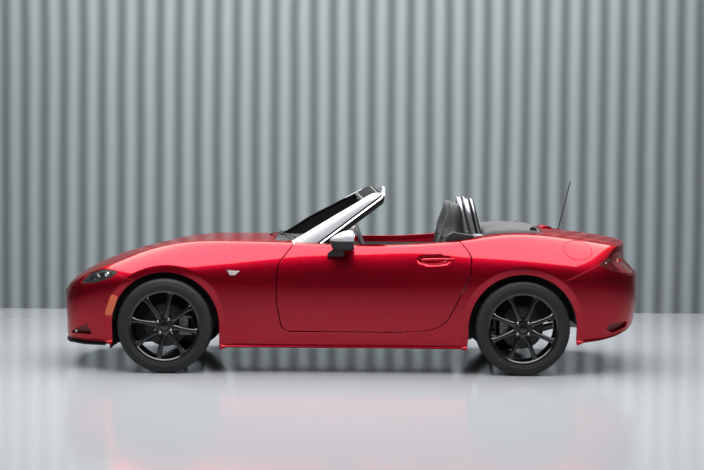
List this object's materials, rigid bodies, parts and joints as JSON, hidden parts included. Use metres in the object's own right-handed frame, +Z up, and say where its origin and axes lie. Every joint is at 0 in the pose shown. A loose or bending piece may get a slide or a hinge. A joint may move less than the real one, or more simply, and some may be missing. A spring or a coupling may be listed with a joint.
{
  "type": "two-seat convertible car",
  "caption": "Low two-seat convertible car with its roof folded: rounded painted body, opening doors, bonnet and boot lid, steered front wheels and spoked alloy rims",
  "frame": {"origin": "on the ground under the middle of the car's bounding box", "axes": "X towards the rear of the car, Y to the car's right, Z up"},
  "size_m": [3.9, 1.948, 1.2459],
  "materials": {
    "red_paint": "deep metallic red",
    "dark_paint": "dark underbody paint",
    "silver_trim": "bright silver",
    "black_wheel": "gloss black",
    "black_plastic": "grained black",
    "glass": "clear",
    "lamp_clear": "clear lens",
    "lamp_red": "red lens",
    "tyre": "tyre rubber",
    "cloth": "dark grey fabric",
    "cabin_trim": "dark cabin trim",
    "leather": "black leather",
    "iron": "cast",
    "aluminium": "cast light alloy",
    "steel": "steel"
  },
  "bodies": {
    "body": {"aerial": "black_plastic", "cabin_tub": "cabin_trim", "dashboard": "cabin_trim", "engine": "iron", "exhaust": "steel", "floor": "dark_paint", "folded_roof": "cloth", "front_bumper": "red_paint", "front_lip": "black_plastic", "front_structure": "dark_paint", "front_subframe": "iron", "grille": "black_plastic", "headlamp_left": "lamp_clear", "headlamp_right": "lamp_clear", "rear_axle": "iron", "rear_bumper": "red_paint", "rear_shelf": "black_plastic", "rear_structure": "dark_paint", "rear_wing_left": "red_paint", "rear_wing_right": "red_paint", "roll_hoops": "silver_trim", "seat_left": "leather", "seat_right": "leather", "sill_left": "red_paint", "sill_right": "red_paint", "tail_lamp_left": "lamp_red", "tail_lamp_right": "lamp_red", "windscreen_frame": "silver_trim", "windscreen_glass": "glass", "wing_left": "red_paint", "wing_right": "red_paint"},
    "bonnet": {"bonnet": "red_paint"},
    "boot_lid": {"boot_lid": "red_paint"},
    "door_left": {"door_left": "red_paint", "mirror_left": "silver_trim"},
    "door_right": {"door_right": "red_paint", "mirror_right": "silver_trim"},
    "fuel_flap": {"fuel_flap": "red_paint"},
    "steering_wheel": {"steering_wheel": "cabin_trim"},
    "knuckle_left": {"knuckle_left": "aluminium"},
    "knuckle_right": {"knuckle_right": "aluminium"},
    "wheel_front_left": {"wheel_front_left": "black_wheel", "tyre_front_left": "tyre"},
    "wheel_front_right": {"wheel_front_right": "black_wheel", "tyre_front_right": "tyre"},
    "wheel_rear_left": {"wheel_rear_left": "black_wheel", "tyre_rear_left": "tyre"},
    "wheel_rear_right": {"wheel_rear_right": "black_wheel", "tyre_rear_right": "tyre"}
  },
  "joints": [
    {"name": "bonnet_hinge", "type": "hinge", "parent": "body", "child": "bonnet", "pos_m": [-0.5025, 0, 0.871], "axis": [0, 1, 0], "range_deg": [0, 50]},
    {"name": "boot_hinge", "type": "hinge", "parent": "body", "child": "boot_lid", "pos_m": [1.2875, 0, 0.934], "axis": [0, -1, 0], "range_deg": [0, 70]},
    {"name": "door_hinge_left", "type": "hinge", "parent": "body", "child": "door_left", "pos_m": [-0.4845, -0.823, 0.55], "axis": [0, 0, -1], "range_deg": [0, 65]},
    {"name": "door_hinge_right", "type": "hinge", "parent": "body", "child": "door_right", "pos_m": [-0.4845, 0.823, 0.55], "axis": [0, 0, 1], "range_deg": [0, 65]},
    {"name": "fuel_flap_hinge", "type": "hinge", "parent": "body", "child": "fuel_flap", "pos_m": [1.3765, -0.766, 0.8202], "axis": [0, -0.6822, -0.7312], "range_deg": [0, 90]},
    {"name": "steer_left", "type": "hinge", "parent": "body", "child": "knuckle_left", "pos_m": [-1.2, -0.69, 0.306], "axis": [0, 0, 1], "range_deg": [-33, 33]},
    {"name": "steer_right", "type": "hinge", "parent": "body", "child": "knuckle_right", "pos_m": [-1.2, 0.69, 0.306], "axis": [0, 0, 1], "range_deg": [-33, 33]},
    {"name": "steering_wheel_turn", "type": "hinge", "parent": "body", "child": "steering_wheel", "pos_m": [0.088, -0.36, 0.785], "axis": [0.9397, 0, 0.342], "range_deg": [-479, 479]},
    {"name": "spin_front_left", "type": "hinge", "parent": "knuckle_left", "child": "wheel_front_left", "pos_m": [-1.2, -0.748, 0.306], "axis": [0, 1, 0], "continuous": true},
    {"name": "spin_front_right", "type": "hinge", "parent": "knuckle_right", "child": "wheel_front_right", "pos_m": [-1.2, 0.748, 0.306], "axis": [0, 1, 0], "continuous": true},
    {"name": "spin_rear_left", "type": "hinge", "parent": "body", "child": "wheel_rear_left", "pos_m": [1.11, -0.748, 0.306], "axis": [0, 1, 0], "continuous": true},
    {"name": "spin_rear_right", "type": "hinge", "parent": "body", "child": "wheel_rear_right", "pos_m": [1.11, 0.748, 0.306], "axis": [0, 1, 0], "continuous": true}
  ],
  "couplings": [
    {"joint": "steer_right", "follows": "steer_left", "ratio": 1},
    {"joint": "steering_wheel_turn", "follows": "steer_left", "ratio": 14.5}
  ]
}
